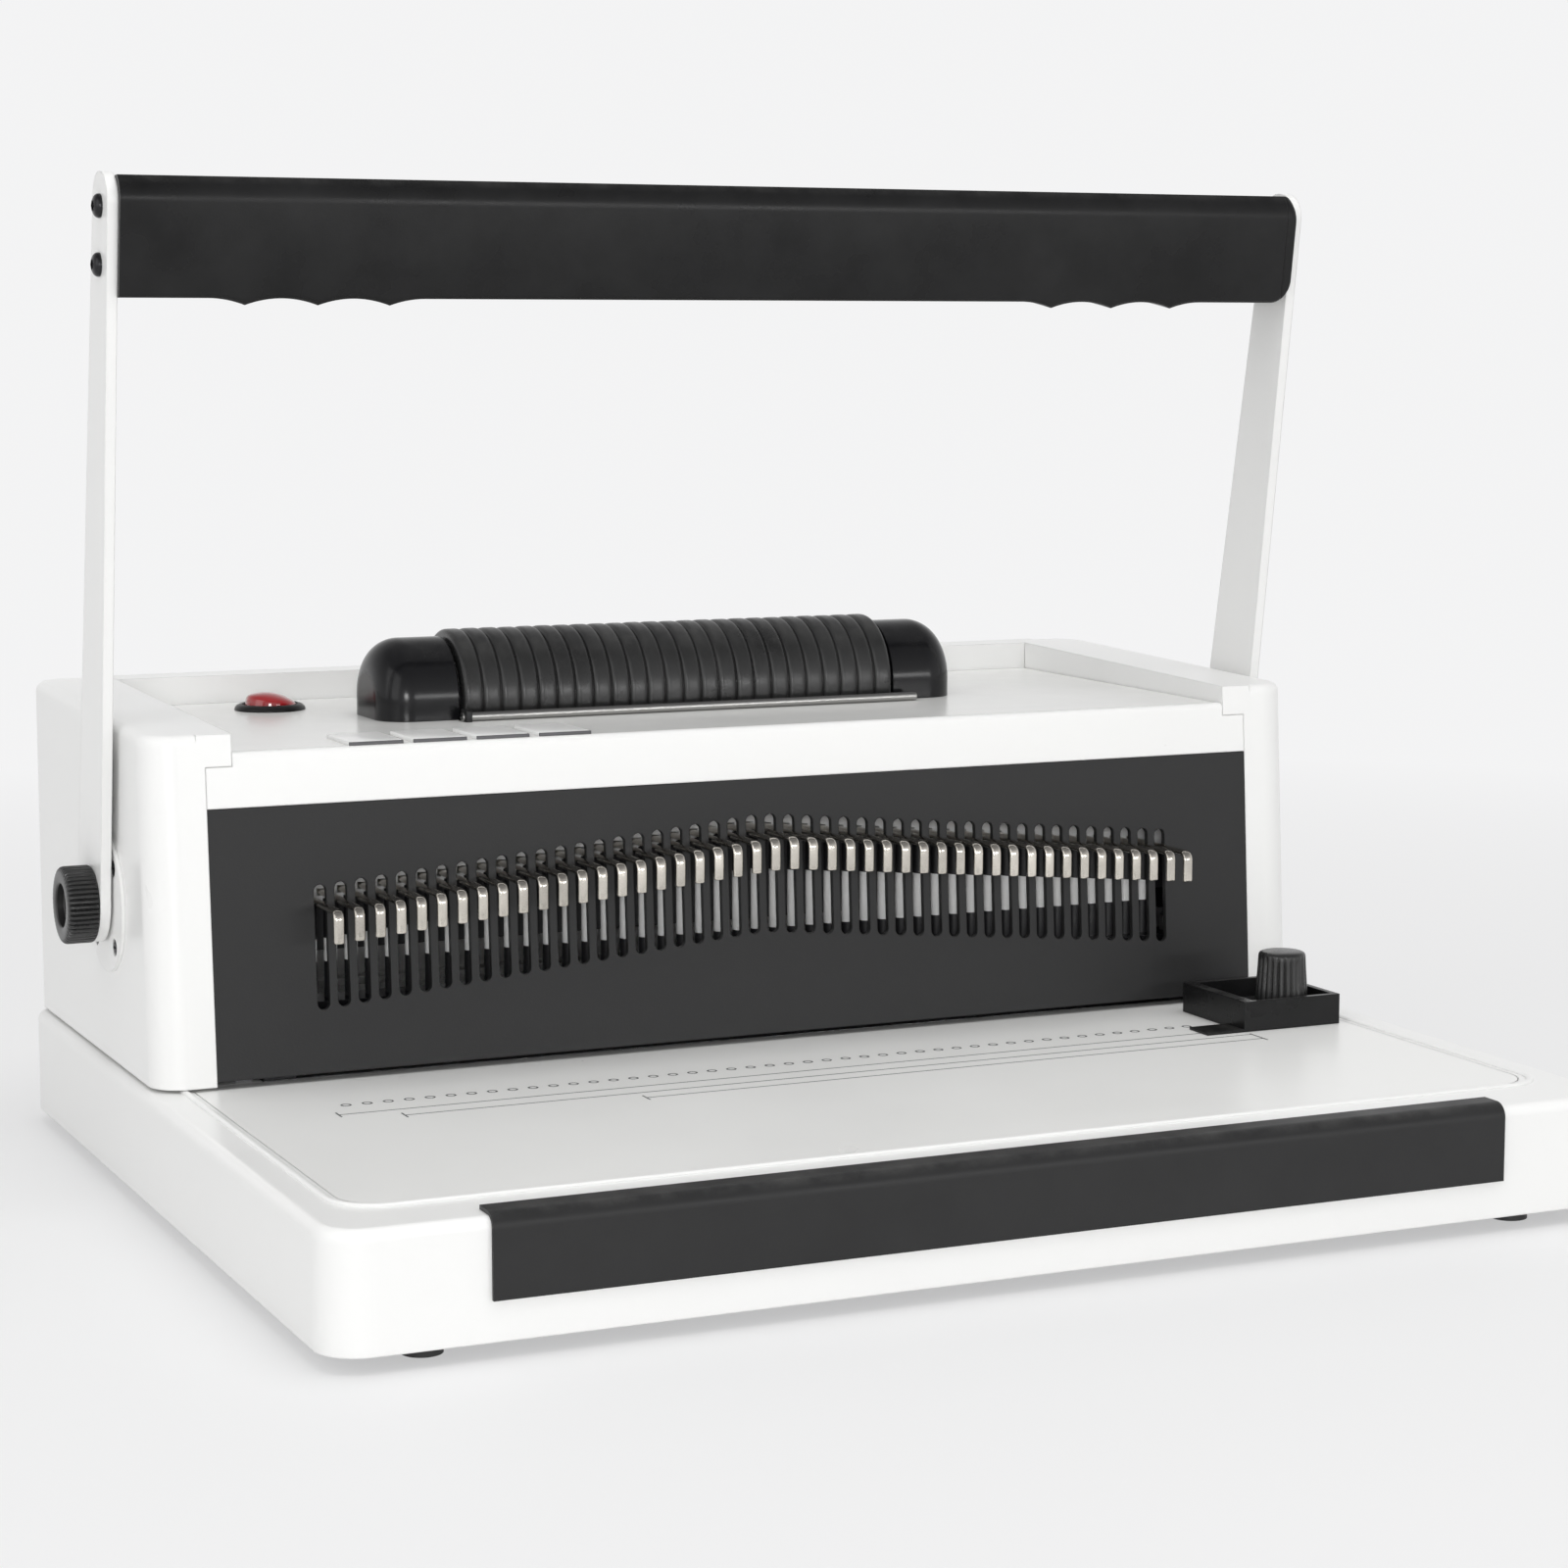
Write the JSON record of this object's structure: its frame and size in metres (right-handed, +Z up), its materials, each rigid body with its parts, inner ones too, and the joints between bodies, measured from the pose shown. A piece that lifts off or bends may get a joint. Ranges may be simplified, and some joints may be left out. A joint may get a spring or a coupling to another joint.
{
  "type": "coil punch and bind machine",
  "caption": "Desk coil binding machine: hand-lever hole punch with a slotted front panel and pin pulls, a paper table, and a motor-driven ribbed roller on top that spins coils into the holes.",
  "frame": {"origin": "on the floor under the middle of the overall box", "axes": "+Z up, -Y towards the user, +X to the user's right"},
  "size_m": [0.4174, 0.3304, 0.3034],
  "materials": {
    "white_paint": "smooth white enamel",
    "table_paint": "glossy pale grey enamel",
    "dark_paint": "satin charcoal paint",
    "black_plastic": "fine moulded texture",
    "gloss_black": "polished black",
    "red_lens": "translucent red",
    "rubber": "matt black rubber",
    "bright_steel": "ground",
    "zinc_steel": "zinc plated",
    "nickel": "nickel plated",
    "aluminium": "satin",
    "brass": "turned",
    "inner_steel": "dark primer"
  },
  "bodies": {
    "machine": {"base_shell": "white_paint", "table_plate": "table_paint", "front_trim": "dark_paint", "feet": "rubber", "foot_screws": "zinc_steel", "bottom_plate": "inner_steel", "drawer_rails": "zinc_steel", "left_side_frame": "inner_steel", "right_side_frame": "inner_steel", "frame_screws": "zinc_steel", "die_plate": "bright_steel", "paper_stop": "bright_steel", "pin_guide_block": "inner_steel", "die_screws": "zinc_steel", "bar_guides": "brass", "tie_bars": "zinc_steel", "shaft_bushes": "brass", "left_cheek": "white_paint", "right_cheek": "white_paint", "cheek_screws": "zinc_steel", "bearing_flanges": "white_paint", "flange_screws": "zinc_steel", "front_panel": "dark_paint", "top_cover": "white_paint", "top_plate": "table_paint", "rear_cover": "white_paint", "rear_cover_screws": "zinc_steel", "left_roller_housing": "gloss_black", "right_roller_housing": "gloss_black", "roller_bushes": "brass", "coil_guide_bar": "nickel", "motor": "zinc_steel", "motor_bracket": "zinc_steel", "drive_belt": "rubber", "switch_body": "black_plastic", "power_inlet": "black_plastic", "return_springs": "bright_steel"},
    "handle": {"left_arm": "white_paint", "right_arm": "white_paint", "grip": "black_plastic", "grip_screws": "zinc_steel", "main_shaft": "bright_steel", "cranks": "zinc_steel"},
    "press": {"press_bar": "zinc_steel", "drive_yokes": "zinc_steel", "punch_pins": "bright_steel", "pin_pulls": "nickel"},
    "roller": {"roller_sleeve": "rubber", "roller_shaft": "aluminium", "roller_pulley": "black_plastic"},
    "rotor": {"motor_shaft": "bright_steel", "motor_pulley": "aluminium"},
    "switch_rocker": {"rocker": "red_lens"},
    "guide": {"edge_guide": "black_plastic", "guide_clamp": "zinc_steel"},
    "clamp_knob": {"guide_knob": "black_plastic"},
    "left_nut": {"left_pivot_knob": "black_plastic"},
    "right_nut": {"right_pivot_knob": "black_plastic"},
    "drawer": {"chip_drawer": "inner_steel"}
  },
  "joints": [
    {"name": "handle_pull", "type": "hinge", "parent": "machine", "child": "handle", "pos_m": [0, 0.0625, 0.0862], "axis": [1, 0, 0], "range_deg": [0, 70], "stiffness_Nm_per_rad": 1.5, "springref_deg": -28.65},
    {"name": "press_stroke", "type": "slide", "parent": "machine", "child": "press", "axis": [0, 0, -1], "range_m": [0, 0.02], "deforming": ["return_springs"]},
    {"name": "roller_spin", "type": "hinge", "parent": "machine", "child": "roller", "pos_m": [0, 0.0905, 0.1414], "axis": [1, 0, 0], "continuous": true},
    {"name": "motor_spin", "type": "hinge", "parent": "machine", "child": "rotor", "pos_m": [0.09, 0.1, 0.095], "axis": [1, 0, 0], "continuous": true},
    {"name": "power_rock", "type": "hinge", "parent": "machine", "child": "switch_rocker", "pos_m": [-0.124, 0.1275, 0.1355], "axis": [0, -1, 0], "range_deg": [0, 20]},
    {"name": "guide_slide", "type": "slide", "parent": "machine", "child": "guide", "axis": [1, 0, 0], "range_m": [-0.005, 0.005]},
    {"name": "guide_knob_turn", "type": "hinge", "parent": "guide", "child": "clamp_knob", "pos_m": [0.165, -0.028, 0.05], "axis": [0, 0, 1], "range_deg": [0, 180]},
    {"name": "left_knob_turn", "type": "hinge", "parent": "handle", "child": "left_nut", "pos_m": [-0.1992, 0.0625, 0.0862], "axis": [1, 0, 0], "range_deg": [-180, 180]},
    {"name": "right_knob_turn", "type": "hinge", "parent": "handle", "child": "right_nut", "pos_m": [0.1992, 0.0625, 0.0862], "axis": [1, 0, 0], "range_deg": [-180, 180]},
    {"name": "drawer_slide", "type": "slide", "parent": "machine", "child": "drawer", "axis": [1, 0, 0], "range_m": [0, 0.2]}
  ],
  "couplings": [
    {"joint": "press_stroke", "follows": "handle_pull", "m_per_rad": 0.01637},
    {"joint": "motor_spin", "follows": "roller_spin", "ratio": 1.7092}
  ]
}
